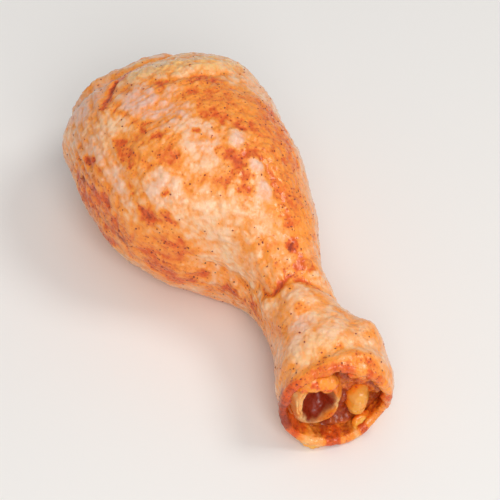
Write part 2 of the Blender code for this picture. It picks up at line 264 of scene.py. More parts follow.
# Dark streaks: dark marks of marinade, painted shade in the crease, the flap crease and the flank
# wrinkles, and painted shadow along the left edge.
DARK_AND_SHADE_STREAKS = (
    ("crease", ((72, 149), (75.8, 141), (77.4, 128), (77.4, 112), (77.2, 96), (79.5, 84)), 0.5, 0.5),
    ("right_spot", ((70.3, 84), (71.4, 81)), 1.1, 1),
    ("flap_crease", ((3, 122), (6.3, 124), (8.5, 131), (12.6, 138)), 0.5, 0.5),
    ("hock_left_edge", ((106.5, 155), (107.3, 185), (108.5, 214)), 1.8, 0.75),
    # left_edge and flank_dark_a to f: painted shadow and shade over the left flank's wrinkles, on brown
    # marinade
    ("left_edge", ((52, 200), (58, 197), (66, 198), (74, 191)), 1.4, 0.3),
    ("flank_dark_a", ((24, 163), (28, 168), (32, 171)), 0.7, 0.65),
    ("flank_dark_b", ((19, 171), (24, 176), (29, 179)), 0.8, 0.7),
    ("flank_dark_c", ((32, 180), (37, 184), (43, 186)), 0.7, 0.65),
    ("flank_dark_d", ((16, 160), (20, 162), (24, 165)), 0.5, 0.4),
    ("flank_dark_e", ((30, 160), (34, 164), (38, 168)), 0.5, 0.4),
    ("flank_dark_f", ((35, 175), (39, 178), (43, 179)), 0.6, 0.45),
    ("cluster", ((42.5, 104), (46.4, 102), (50.9, 96.5), (54.5, 99)), 0.6, 0.5),
)
# Dark blots: painted shadow over the left flank and left edge, on brown marinade; the cluster is a dark
# stain.
DARK_AND_SHADOW_BLOTS = {
    "left flank": ((31, 184, 15, 6, 0.42), (50, 190, 8, 4, 0.36)),
    "left edge": ((64, 203, 10, 3.4, 0.4),),
    "cluster": ((50, 97, 3.4, 2, 0.22),),
}

# ---- folds and lumps of the skin, one by one -----------------------
# Folds: points (distance, angle in degrees), half-width, depth.
FOLDS = (
    ("under_rim", ((20, 50), (21.5, 66), (20.5, 80), (19, 94), (16.5, 108), (14, 118)), 1.1, 0.5),
    ("flap_crease", ((2, 122), (6.3, 124), (8.5, 131), (12.6, 138)), 0.7, 0.6),
    ("crease_lip", (
        (72, 149), (75.8, 141), (77.4, 128),
        (77.4, 112), (77.2, 96), (79.5, 84),
    ), 0.9, 0.42),
    ("ring_outer", ((39, 156), (36.5, 147), (38.5, 136), (44.5, 129), (50, 136)), 0.8, 0.24),
    ("ring_inner", ((42, 151), (40.5, 146), (42.5, 139), (47.5, 137)), 0.6, 0.18),
    ("ring_under", ((40, 158), (45, 161), (50, 155)), 0.7, 0.3),
    ("calf_rim", ((50, 184), (56, 179), (62, 176), (68, 171)), 1.3, 0.5),
    ("calf_rim_low", ((48, 196), (55, 192), (61, 190)), 1, 0.35),
    ("shank_groove", ((78, 182), (82, 162), (86, 147), (93, 126)), 1.9, 0.25),
    ("shank_side", ((84, 70), (92, 62), (99, 60)), 1.8, 0.35),
    ("shank_fine", ((88, 110), (94, 104), (100, 104)), 1, 0.18),
    ("ridge_side", ((36, 82), (46, 84), (56, 82), (64, 80)), 1.6, 0.3),
    ("crease_fork", ((77, 124), (73.5, 116), (68, 112)), 0.8, 0.3),
    ("crease_fork_low", ((73, 147), (70, 154), (66, 158)), 0.8, 0.3),
    ("cuff_inner", ((107.5, 40), (108, 80), (108.5, 110)), 0.9, 0.3),
)
# Lumps, by area: distance, angle in degrees, half-length, half-width, height.
LUMPS = {
    "cluster lumps": (
        (43.9, 90.5, 1.9, 1.6, 0.75), (52.2, 88.5, 1.7, 1.4, 0.75), (58.7, 91.5, 1.9, 1.5, 0.7),
    ),
    "ring": ((44, 147, 1.7, 1.5, 0.4), (43, 139, 1.5, 1.4, 0.35), (47.5, 141, 1.5, 1.3, 0.35)),
    "hood": (
        (-1, 112, 2, 2.2, 0.6), (3, 99, 2.2, 2.4, 0.6), (-2.5, 92, 2.2, 2.2, 0.5),
        (5.5, 84, 2, 2.4, 0.6), (7, 104, 1.8, 2, 0.5),
    ),
    "calf front": (
        (56.1, 166, 1.3, 1.3, 0.45), (60.5, 164, 1.3, 1.4, 0.45), (60.1, 139, 1.4, 1.3, 0.4),
        (64, 150, 1.2, 1.3, 0.4), (56.4, 121, 1.3, 1.2, 0.35),
    ),
    "left edge": ((57, 205, 1.5, 1.7, 0.6), (62, 203, 1.4, 1.6, 0.6), (67.5, 199, 1.4, 1.5, 0.5)),
    "knee rim": (
        (16.5, 64, 2.2, 2.6, 0.5), (14.5, 76, 2.4, 2.4, 0.45), (12.5, 88, 2.2, 2.4, 0.5),
        (11, 100, 2, 2.3, 0.45), (9, 111, 1.8, 2.2, 0.4),
    ),
    "calf bulges": ((53.5, 193, 2, 2.4, 1), (59.5, 195, 1.9, 2.2, 0.9), (65, 190, 1.8, 2, 0.7)),
    "shank": (
        (97, 44, 1.4, 1.6, 0.9), (99, 40, 4, 5, 0.8), (92, 136, 6, 1.8, 0.5),
        (86.5, 104, 1.8, 2.2, 0.35),
    ),
    "cuff rolls": (
        (107, 96, 1.8, 3.4, 0.6), (106, 76, 1.8, 3.6, 0.7), (105.5, 56, 2.2, 3.4, 0.6),
        (107, 30, 2, 4, 0.5),
    ),
    "knee top": ((2, 92, 4.5, 13, -0.6),),
    "calf end": ((64, 178, 3.5, 6.5, 0.35),),
}

# ---- colours, as sRGB shares ---------------------------------------
COLOURS = {
    "bare_skin": (1.000, 0.805, 0.650),
    "fat_skin": (1.000, 0.775, 0.500),
    # the grey-pink skin, also used for painted sheen
    "grey_skin_and_sheen": (0.905, 0.735, 0.675),
    "oil": (1.000, 0.585, 0.130),
    "rub": (0.920, 0.370, 0.050),
    # the darkest rub, also the colour of painted shade and shadow
    "dark_rub_and_shade": (0.560, 0.150, 0.030),
    "spice": (0.720, 0.210, 0.040),
    "meat": (0.740, 0.280, 0.160),
    "meat_dark": (0.520, 0.130, 0.060),
    "sinew": (0.900, 0.690, 0.500),
    "bone": (0.970, 0.810, 0.560),
    "cartilage": (0.970, 0.850, 0.760),
    "marrow": (0.600, 0.180, 0.060),
    "tendon": (0.965, 0.670, 0.250),
    "fat": (0.990, 0.750, 0.290),
    "flake_red": (0.680, 0.190, 0.030),
    "flake_dark": (0.430, 0.140, 0.050),
    "floor": (0.948, 0.942, 0.933),
}


def linear(name):
    """A colour of the table in the linear light that the shaders take."""
    shares = [c / 12.92 if c <= 0.04045 else ((c + 0.055) / 1.055) ** 2.4 for c in COLOURS[name]]
    return (*shares, 1.0)


# ---- curves and noise ----------------------------------------------
def hermite(places, values, at):
    """A smooth curve through (places, values), read at the numbers in at."""
    slopes = np.gradient(values, places)
    k = np.clip(np.searchsorted(places, at, side="right") - 1, 0, len(places) - 2)
    width = places[k + 1] - places[k]
    t = (at - places[k]) / width
    a, b = values[k], values[k + 1]
    rise = b - a
    start = slopes[k] * width
    end = slopes[k + 1] * width
    return a + t * start + t**2 * (3 * rise - 2 * start - end) + t**3 * (start + end - 2 * rise)


def column(stations, index):
    return np.array([row[index] for row in stations], float)


def read(stations, index, along):
    return hermite(column(stations, 1), column(stations, index), along)


def bell(distance, width):
    return np.exp(-0.5 * (distance / width) ** 2)


def ease(value):
    t = np.clip(value, 0, 1)
    return t * t * (3 - 2 * t)


def turned_near(angle, middle):
    """The same angles, written within half a turn of the middle."""
    return middle + (angle - middle + TURN / 2) % TURN - TURN / 2


def past_turn(angle, degrees):
    """How far angles lie past one given in degrees, the short way round, in radians."""
    middle = math.radians(degrees)
    return turned_near(angle, middle) - middle


def lottery(cell, seed):
    """A steady random number from 0 to 1 for each cell of whole numbers."""
    mixed = cell[..., 0] * 73856093 ^ cell[..., 1] * 19349663 ^ cell[..., 2] * 83492791
    mixed = mixed ^ seed * 49979687
    for shift in (13, 9, 15):
        mixed = ((mixed ^ (mixed >> shift)) * 1274126177) & 0xFFFFFFFF
    return mixed / 0xFFFFFFFF


def mottle(points, size, seed, octaves=1):
    """Smooth noise from about -1 to 1 in blobs of this size; each octave adds blobs half as large."""
    total = np.zeros(points.shape[:-1])
    weight = 1.0
    for octave in range(octaves):
        place = points / size * 2**octave + 31.7 * octave
        cell = np.floor(place).astype(np.int64)
        t = place - cell
        t = t**3 * (t * (t * 6 - 15) + 10)
        for corner in itertools.product((0, 1), repeat=3):
            share = np.prod(np.where(corner, t, 1 - t), axis=-1)
            total += weight * share * (2 * lottery(cell + np.array(corner), seed + 97 * octave) - 1)
        weight *= 0.55
    return total * 1.5 / (1 + 0.55 * (octaves > 1))


def cells(points, size, seed):
    """Distances, in sizes, to the nearest and the second nearest of seats about a size apart."""
    place = points / size
    base = np.floor(place).astype(np.int64)
    nearest = np.full(points.shape[:-1], 9.0)
    second = nearest.copy()
    for step in itertools.product((-1, 0, 1), repeat=3):
        cell = base + np.array(step)
        seat = cell + np.stack([lottery(cell, seed + k) for k in range(3)], -1) * 0.8 + 0.1
        distance = np.linalg.norm(place - seat, axis=-1)
        second = np.minimum(second, np.maximum(nearest, distance))
        nearest = np.minimum(nearest, distance)
    return nearest, second


# ---- the form ------------------------------------------------------
def spine(along):
    """Centre, forward, sideways and upward vectors of the spine at these distances."""
    step = 0.01
    y = read(SKIN_STATIONS, 6, along)
    z = read(SKIN_STATIONS, 7, along)
    dy = (read(SKIN_STATIONS, 6, along + step) - y) / step
    centre = np.stack([along - REST, y, z], -1)
    ahead = np.stack([np.ones_like(dy), dy, np.zeros_like(dy)], -1)
    ahead /= np.linalg.norm(ahead, axis=-1, keepdims=True)
    up = np.broadcast_to([0.0, 0.0, 1.0], ahead.shape)
    return centre, ahead, np.cross(up, ahead), up


def outline(sizes, angle):
    left, right, top, bottom = sizes
    across = np.where(np.cos(angle) > 0, right, left)
    upright = np.where(np.sin(angle) > 0, top, bottom)
    n = ROUNDNESS
    return ((np.abs(np.cos(angle)) / across) ** n + (np.abs(np.sin(angle)) / upright) ** n) ** (-1 / n)


def on_ring(along, angle, radius, right=0.0, above=0.0):
    centre, _, side, up = spine(along)
    across = right + radius * np.cos(angle)
    height = above + radius * np.sin(angle)
    return centre + side * across[..., None] + up * height[..., None]


def skin_radius(along, angle):
    return outline([read(SKIN_STATIONS, index, along) for index in (2, 3, 4, 5)], angle)


def valley(along, angle, route, width):
    """A groove across the leg along a route, 1 at its bottom, which fades out past both its ends."""
    places = np.radians([turn for turn, _ in route])
    angle = turned_near(angle, (places[0] + places[-1]) / 2)
    route_along = np.interp(angle, places, [place for _, place in route])
    fade = ease((angle - places[0]) / 0.4 + 1) * ease((places[-1] - angle) / 0.4 + 1)
    return bell(along - route_along, width) * fade


def lumps(along, angle, rows):
    height = np.zeros_like(along)
    radius = skin_radius(along, angle)
    for place, turn, length, width, tall in itertools.chain(*rows.values()):
        height += tall * bell(along - place, length) * bell(past_turn(angle, turn) * radius, width)
    return height


def flap(along, angle):
    """A step up at the flap's free edge, which sinks back into the flank below it."""
    past = (np.degrees(angle) - FLAP_ANGLE) / 4
    rise = ease(past + 0.5) * ease(1 - past / 12)
    return FLAP_HEIGHT * rise * ease(1 - along / FLAP_END)


def form(along, angle):
    radius = skin_radius(along, angle)
    return radius - CREASE_DEPTH * valley(along, angle, CREASE_ROUTE, CREASE_WIDTH)


def outside(along, angle):
    radius = form(along, angle) + lumps(along, angle, LOBES) + flap(along, angle)
    radius -= FURROW_DEPTH * valley(along, angle, FURROW_ROUTE, FURROW_WIDTH)
    return radius - CUFF_DEPTH * valley(along, angle, CUFF_ROUTE, CUFF_WIDTH)


def with_edge_waves(along, angle):
    torn = 1.1 + 0.7 * np.sin(2 * angle + 0.4) + 0.4 * np.sin(5 * angle + 1.0)
    cut = 1.7 + 1.5 * np.sin(angle) - 1.5 * np.cos(angle) + 0.3 * np.sin(4 * angle + 0.5)
    cut += 4.8 * bell(past_turn(angle, 325), 0.42)
    near_knee = np.clip(1 - along / EDGE_REACH, 0, 1)
    near_hock = np.clip(1 - (LENGTH - along) / EDGE_REACH, 0, 1)
    return along + torn * near_knee - cut * near_hock


def knee_wrap(along, angle):
    """The places with the skin's knee edge drawn on over the meat at the top, to less than zero."""
    reach = HOOD_REACH * bell(past_turn(angle, HOOD_TURN), 0.75)
    return along - reach * np.clip(1 - along / EDGE_REACH, 0, 1)


def turned_in(points, along):
    """Points of the knee edge, with those at less than zero carried over the meat's rounded end."""
    over = np.maximum(-along, 0) / HOOD_REACH
    centre, _, _, _ = spine(np.zeros_like(along))
    turned = centre + (points - centre) * (np.cos(over) ** 0.35)[..., None]
    turned[..., 0] = points[..., 0] - HOOD_BULGE * np.sin(over)
    return turned


def grid(places, around):
    return np.meshgrid(places, np.arange(around) * TURN / around, indexing="ij")


def out_of(points):
    """Unit vectors out of a closed tube of points, whose rows run forward and columns round it."""
    forward = np.gradient(points, axis=0)
    round_it = np.roll(points, -1, axis=1) - np.roll(points, 1, axis=1)
    out = np.cross(round_it, forward)
    return out / np.maximum(np.linalg.norm(out, axis=-1, keepdims=True), 1e-9)


# The table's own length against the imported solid's gives the metres in one of its units.
skin_low, skin_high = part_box("skin")
coarse_along, coarse_angle = grid(np.linspace(0, LENGTH, 41), 42)
coarse_along = with_edge_waves(coarse_along, coarse_angle)
coarse = on_ring(coarse_along, coarse_angle, outside(coarse_along, coarse_angle))
MM = round((skin_high.x - skin_low.x) / np.ptp(coarse[..., 0]), 5)


# ---- blots, streaks and folds --------------------------------------
Sheet = namedtuple("Sheet", "along angle radius points")


def blots(sheet, rows, ragged=1.3):
    """Listed blots with ragged edges; the strongest shows where they overlap."""
    off_along = ragged * mottle(sheet.points, 4.0, 11, 3)
    off_around = ragged * mottle(sheet.points, 4.0, 12, 3)
    amount = np.zeros_like(sheet.along)
    for place, turn, length, width, strength in itertools.chain(*rows.values()):
        away = (sheet.along - place + off_along) / length
        across = (past_turn(sheet.angle, turn) * sheet.radius + off_around) / width
        amount = np.maximum(amount, strength * ease((1.45 - np.hypot(away, across)) / 0.9))
    return amount


def from_line(sheet, points):
    """Distance over the skin to a line of points, and the share of the way along it."""
    radius = sheet.radius
    nearest = np.full_like(sheet.along, 99.0)
    share = np.zeros_like(nearest)
    legs = len(points) - 1
    for k, (start, end) in enumerate(zip(points, points[1:])):
        step_around = math.radians(end[1] - start[1]) * radius
        step_along = end[0] - start[0]
        away = sheet.along - start[0]
        across = past_turn(sheet.angle, start[1]) * radius
        t = (away * step_along + across * step_around) / (step_along**2 + step_around**2)
        t = np.clip(t, 0, 1)
        distance = np.hypot(away - t * step_along, across - t * step_around)
        closer = distance < nearest
        nearest = np.where(closer, distance, nearest)
        share = np.where(closer, (k + t) / legs, share)
    return nearest, share


def streaks(sheet, rows):
    wander = 0.5 * mottle(sheet.points, 2.5, 14, 2)
    broken = np.clip(0.85 + 0.5 * mottle(sheet.points, 2.0, 16, 2), 0.2, 1.15)
    amount = np.zeros_like(sheet.along)
    for _, points, width, strength in rows:
        distance, share = from_line(sheet, points)
        taper = ease(share / 0.15) * ease((1 - share) / 0.15)
        amount = np.maximum(amount, strength * broken * taper * bell(distance + wander, width))
    return amount


def folds(sheet, rows):
    """Creases with soft shoulders, as depth below the skin around them."""
    wander = 0.35 * mottle(sheet.points, 3.0, 15, 2)
    depth = np.zeros_like(sheet.along)
    for _, points, width, deep in rows:
        distance, share = from_line(sheet, points)
        distance = np.abs(distance + wander)
        taper = ease(share / 0.2) * ease((1 - share) / 0.2)
        shape = np.exp(-distance / width) - 0.45 * bell(distance - 2.2 * width, width)
        depth += deep * taper * shape
    return depth


def flank_wrinkles():
    """The family of fine wrinkles that run down the left flank side by side."""
    rows = []
    for k in range(8):
        start = (3 + 1.5 * (k % 3), 143 + 5.2 * k)
        middle = (20 + 1.2 * (k % 2), 147 + 5.0 * k)
        end = (41 - 1.5 * (k % 4), 157 + 4.0 * k)
        rows.append((f"flank_wrinkle_{k}", (start, middle, end), 0.8, 0.6))
    return rows


# ---- meshes --------------------------------------------------------
def new_object(name, data):
    made = bpy.data.objects.new(name, data)
    bpy.context.scene.collection.objects.link(made)
    return made


def tube_mesh(name, points, closed_rows=False, capped=False):
    """A piece from rows of points round it: rows may join up, or close at both ends."""
    rows, around = points.shape[:2]
    row = np.arange(rows if closed_rows else rows - 1)[:, None] * around
    next_row = (row + around) % (rows * around)
    k = np.arange(around)[None, :]
    after = (k + 1) % around
    quads = np.stack([row + k, next_row + k, next_row + after, row + after], -1)
    faces = quads.reshape(-1, 4).tolist()
    if capped:
        faces.append(list(range(around)))
        faces.append([(rows - 1) * around + k for k in range(around)][::-1])
    mesh = bpy.data.meshes.new(name)
    mesh.from_pydata((points.reshape(-1, 3) * MM).tolist(), [], faces)
    mesh.shade_smooth()
    mesh.update()
    return new_object(name, mesh)


def paint(made, name, *layers):
    """Stores up to three layers, one number for each vertex, as a colour attribute."""
    values = np.zeros((len(made.data.vertices), 4), np.float32)
    values[:, 3] = 1.0
    for k, layer in enumerate(layers):
        values[:, k] = np.clip(np.ravel(layer), 0, 1)
    attribute = made.data.attributes.new(name, "FLOAT_COLOR", "POINT")
    attribute.data.foreach_set("color", values.ravel())


# ---- the skin ------------------------------------------------------
def gooseflesh(points):
    """Follicle mounds on a net of fine creases; the mounds' heights and the creases' depths."""
    wandered = points + np.stack([mottle(points, 7, seed, 2) for seed in (21, 22, 23)], -1)
    near, second = cells(wandered, 2.9, 24)
    small_near, small_second = cells(wandered, 1.6, 27)
    mound = bell(near, 0.33) + 0.4 * bell(small_near, 0.34)
    crease = ease(1 - (second - near) / 0.26)
    crease += 0.6 * ease(1 - (small_second - small_near) / 0.34)
    return mound, crease


def wrinkles(sheet, heading, size, seed):
    """Sharp-bottomed wrinkles, 1 at their bottoms; heading 0 runs along the leg, 90 round it."""
    round_it = turned_near(sheet.angle, math.radians(SEEN_TURN)) * 20.0
    turn = math.radians(heading)
    with_them = sheet.along * math.cos(turn) + round_it * math.sin(turn)
    over_them = round_it * math.cos(turn) - sheet.along * math.sin(turn)
    over_them = over_them + 0.9 * mottle(sheet.points, 6, seed + 5, 2)
    place = np.stack([with_them * 0.16, over_them, np.full_like(over_them, 0.5)], -1)
    return np.clip(1 - np.abs(mottle(place, size, seed, 2)) / 0.38, 0, 1) ** 2


def near(sheet, place, turn, length, width):
    """A soft patch, 1 at its middle."""
    across = past_turn(sheet.angle, turn) * sheet.radius
    return np.exp(-0.5 * ((sheet.along - place) / length) ** 2 - 0.5 * (across / width) ** 2)


Relief = namedtuple("Relief", "height sunk bumps")


def skin_relief(sheet):
    """Height over the plain form; how deep each point lies in a crease, and how high on a bump."""
    points = sheet.points
    soft = 0.5 * mottle(points, 11, 31, 2)
    mound, crease = gooseflesh(points)
    taut = ease((sheet.along - 76) / 8)
    flank = bell(past_turn(sheet.angle, 175), 0.55) * (1 - taut)
    bumpy = (0.85 + 0.35 * mottle(points, 16, 33)) * (1 - 0.45 * taut)
    creased_skin = np.maximum.reduce([share * wrinkles(sheet, *family) for share, family in (
        (0.15 + 0.85 * flank, (4, 1.9, 36)),
        (0.2 + 0.8 * near(sheet, 23, 117, 9, 10), (84, 1.9, 37)),
        (0.15 + 0.85 * near(sheet, 56, 132, 11, 14), (-52, 2.0, 38)),
        (0.8 * bell(sheet.along - 70, 8), (88, 2.4, 39)),
    )])
    fine = 0.11 * mottle(points, 1.4, 34, 2)
    creased = folds(sheet, (*FOLDS, *flank_wrinkles()))
    raised = lumps(sheet.along, sheet.angle, LUMPS)
    height = soft + bumpy * (0.20 * mound - 0.12 * crease) + fine - creased + raised
    height -= 0.34 * creased_skin
    sunk = 0.8 * np.clip(creased / 0.5, 0, 1) + 0.34 * bumpy * crease + 0.75 * creased_skin
    return Relief(height, np.clip(sunk, 0, 1), np.clip(bumpy * mound, 0, 1))


def rim(outer, inner, ahead, rows):
    """Rows of a rounded edge from an outer ring to an inner one, which bulges ahead."""
    middle = (outer + inner) / 2
    half = (outer - inner) / 2
    bulge = np.linalg.norm(half, axis=-1, keepdims=True) * ahead
    turns = (np.arange(rows) + 1) * math.pi / (rows + 1)
    return np.stack([middle + half * math.cos(t) + bulge * math.sin(t) for t in turns])


# Where the skin is rolled up thick at the cut: angle in degrees, height, half-width in radians.
CUT_ROLLS = ((92, 1.5, 0.75), (262, 0.9, 0.6), (20, 0.7, 0.5))


def make_skin():
    along, angle = grid(np.linspace(0, LENGTH, SKIN_ROWS), SKIN_AROUND)
    along = knee_wrap(with_edge_waves(along, angle), angle)
    on_leg = np.maximum(along, 0)
    plain = turned_in(on_ring(on_leg, angle, outside(on_leg, angle)), along)
    out = out_of(plain)
    sheet = Sheet(along, angle, skin_radius(on_leg, angle), plain)
    relief = skin_relief(sheet)
    outer = plain + out * relief.height[..., None]
    outer[..., 2] = np.maximum(outer[..., 2], 0)

    at_cut = ease((along - 96) / 9)
    rolls = sum(tall * bell(past_turn(angle, turn), width) for turn, tall, width in CUT_ROLLS)
    rolls *= at_cut * (1 + 0.5 * mottle(plain, 3.5, 42, 2))
    thick = SKIN + 0.35 * (1 + mottle(plain, 5, 41, 2)) + rolls
    wall = outer - out * thick[..., None]
    wall += out * (0.5 * at_cut * mottle(plain, 2.6, 43, 2))[..., None]
    wall[..., 2] = np.maximum(wall[..., 2], 0.9)
    inner_rows = np.linspace(SKIN_ROWS - 1, 0, WALL_ROWS).astype(int).tolist()
    _, forward, _, _ = spine(along)
    hock_rim = rim(outer[-1], wall[-1], forward[-1], RIM_ROWS)
    back = plain[0] - plain[1]
    back /= np.linalg.norm(back, axis=-1, keepdims=True)
    knee_rim = rim(wall[0], outer[0], back, RIM_ROWS)
    points = np.concatenate([outer, hock_rim, wall[inner_rows], knee_rim])
    skin = tube_mesh("marinated_skin", points, closed_rows=True)

    rows = [*range(SKIN_ROWS), *[SKIN_ROWS - 1] * RIM_ROWS, *inner_rows, *[0] * RIM_ROWS]
    inside = np.repeat([0.0, 0.6, 1.0, 0.6], [SKIN_ROWS, RIM_ROWS, WALL_ROWS, RIM_ROWS])
    paint_skin(skin, sheet, relief, rows, inside)
    return skin


def paint_skin(skin, sheet, relief, rows, inside):
    """How much marinade lies on every vertex, and the skin's own tones under it."""
    points = sheet.points
    hidden = ease((np.abs(past_turn(sheet.angle, SEEN_TURN)) - 1.5) / 0.5)
    bare = blots(sheet, BARE_AND_SHEEN_BLOTS)
    oil = np.maximum(blots(sheet, OIL_AND_SHADOW_BLOTS), 0.7 * hidden * ease(mottle(points, 14, 56, 2) + 0.5))
    rub = np.maximum(blots(sheet, PIGMENT_AND_SHADOW_BLOTS), streaks(sheet, PIGMENT_AND_SHADE_STREAKS))
    patches = ease((mottle(points, 8, 52, 3) - 0.15) / 0.8)
    rub = np.maximum(rub, patches * (0.18 + 0.7 * hidden) * (1 - 0.8 * bare))
    # pale: pale patches, on the cluster lumps partly painted highlight
    pale = blots(sheet, PALE_AND_HIGHLIGHT_BLOTS, 0.5)
    amount = 0.40 + 0.09 * mottle(points, 13, 51, 2) + 0.09 * mottle(points, 5.5, 57, 2) - 0.25 * bare
    amount += (0.66 - amount) * oil * (1 - 0.5 * bare)
    amount += (0.98 - amount) * rub
    amount += (0.15 - amount) * 0.9 * pale
    texture = 0.42 * relief.sunk - 0.18 * relief.bumps + 0.22 * mottle(points, 2.2, 54, 2)
    amount += texture * (0.8 + 0.3 * amount) * (1 - 0.4 * oil) * (1 - 0.4 * pale)
    # deep: dark marks of marinade, with painted shade in creases and painted shadow over the left flank
    deep = np.maximum(streaks(sheet, DARK_AND_SHADE_STREAKS), blots(sheet, DARK_AND_SHADOW_BLOTS))
    # grey: the skin's grey-pink tone, partly painted sheen
    grey = blots(sheet, GREY_AND_SHEEN_BLOTS) + 0.25 * hidden * ease(mottle(points, 10, 55, 2))
    fat = blots(sheet, FAT_BLOTS)
    lining = np.repeat(inside, SKIN_AROUND)

    def flat(layer):
        return layer[rows].ravel()

    coated = STORED_SHARE * np.minimum(flat(amount) + 0.35 * lining, 1.35)
    # soaked: the skin's inner wall darker inside the cut, marinade soaked in and painted shade in the
    # pocket
    soaked = 0.6 * lining**2 * ease(flat(mottle(points, 4, 58, 2)) + 0.5)
    paint(skin, "marinade", coated, np.maximum(flat(deep), soaked))
    paint(skin, "tone", np.maximum(flat(fat), lining), flat(grey))


# ---- the cut hock joint and the knee -------------------------------
def cap_shares(count):
    """Shares of the way from a cap's rim to its middle."""
    return np.linspace(0, 0.985, count)


# Muscles that swell at the knee: place across and above its middle, half-width, half-height.
MUSCLE_HEADS = ((-13, 7, 8, 9), (-12, -9, 9, 7), (3, -13, 8, 5), (1, 13, 9, 5))


def make_meat():
    """The meat: a rough floor round the bone in the hock, muscle heads that bulge at the knee."""
    depth = SKIN + GAP + 0.15
    places = np.concatenate([[3.0], np.linspace(6, 100, 24), [LENGTH - RECESS - 1.5, LENGTH - RECESS]])
    along, angle = grid(places, MEAT_AROUND)
    along = with_edge_waves(along, angle)
    sleeve = on_ring(along, angle, form(along, angle) - depth)
    sleeve[..., 2] = np.maximum(sleeve[..., 2], depth)

    knee, hock = [], []
    first, last = sleeve[0], sleeve[-1]
    knee_middle, hock_middle = first.mean(axis=0), last.mean(axis=0)
    centre, forward, side, up = spine(np.array(LENGTH - RECESS))
    for share in cap_shares(56):
        turn = share * TURN / 4
        ring = knee_middle + (first - knee_middle) * math.cos(turn) ** 0.75
        ring[:, 0] -= (KNEE_BULGE + 2.0) * math.sin(turn)
        knee.append(ring)
        floor = hock_middle + (last - hock_middle) * (1 - share)
        off = floor - centre
        in_bone = np.hypot((off @ side + 4.7) / 6.0, (off @ up + 1.2 + CUT_DROP) / 9.0)
        sunk = 0.7 * ease(share / 0.28) + 7.0 * ease((1.0 - in_bone) / 0.2)
        hock.append(floor - forward * sunk[:, None])
    points = np.concatenate([np.array(knee)[::-1], sleeve[1:-1], np.array(hock)])
    count = len(knee)
    knee_part, hock_part, swell = np.zeros((3, *points.shape[:2]))
    knee_part[:count] = 1
    hock_part[-count:] = 1

    across = points[..., 1] - 3.0
    height = points[..., 2] - 21.0
    for y, z, wide, tall in MUSCLE_HEADS:
        swell = np.maximum(swell, 1 - ((across - y) / wide) ** 2 - ((height - z) / tall) ** 2)
    swell = np.clip(swell, 0, 1) ** 0.5
    fibres = mottle(points * np.array([1, 1, 0.35]), 1.6, 61, 2)
    rough = 1.1 * mottle(points, 3.2, 62, 3)
    covered = ease((height - 0.28 * across - 1.0) / 6.0)
    lumpy = 0.35 * fibres + 0.6 * mottle(points, 3.2, 66, 3)
    push = knee_part * (2.6 * swell * (1 - covered) - 1.3 - 2.8 * covered + lumpy) + hock_part * rough
    rim_fade = np.ones(len(points))
    rim_fade[:count] = ease(np.arange(count)[::-1] / 8)
    rim_fade[-count:] = ease(np.arange(count) / 6)
    push *= rim_fade[:, None]
    points[..., 0] += np.where(knee_part > 0, -push, push)
    meat = tube_mesh("leg_meat", points, capped=True)
    sinew = 0.7 * knee_part * ease((0.3 - swell + 0.5 * mottle(points, 2.5, 67, 2)) / 0.3)
    sinew += hock_part * ease(mottle(points, 2.4, 63, 2) - 0.6)
    sinew[count - 14:count] = np.maximum(sinew[count - 14:count], 0.8)
    rub = 0.45 - 0.20 * knee_part + 0.4 * mottle(points, 5, 64, 3) + 0.55 * hock_part
    paint(meat, "flesh", sinew, rub, 0.5 + 0.5 * fibres)
    # depth: the meat darker in the hock's recess, partly painted shade there
    paint(meat, "depth", hock_part * (0.75 - 0.35 * mottle(points, 3, 65, 2)))
    return meat


CARTILAGE_ROWS = 16  # of the bone's own rows behind its knee end
HOLLOW_DEPTH = 4.4
HOLLOW_SIZE = (4.3, 7.0)  # half-width and half-height at the cut
HOLLOW_SHIFT = (0.7, -1.5)  # right and up from the bone's middle
CUT_DROP = 0.8  # how far the bone and the tendon sag at the cut


def strand_frame(stations, along, angle, swell=0.0):
    wide = read(stations, 2, along) + swell
    high = read(stations, 3, along) + swell
    radius = outline((wide, wide, high, high), angle)
    above = read(stations, 5, along) - CUT_DROP * ease((along - 94) / 9)
    return on_ring(along, angle, radius, read(stations, 4, along), above)


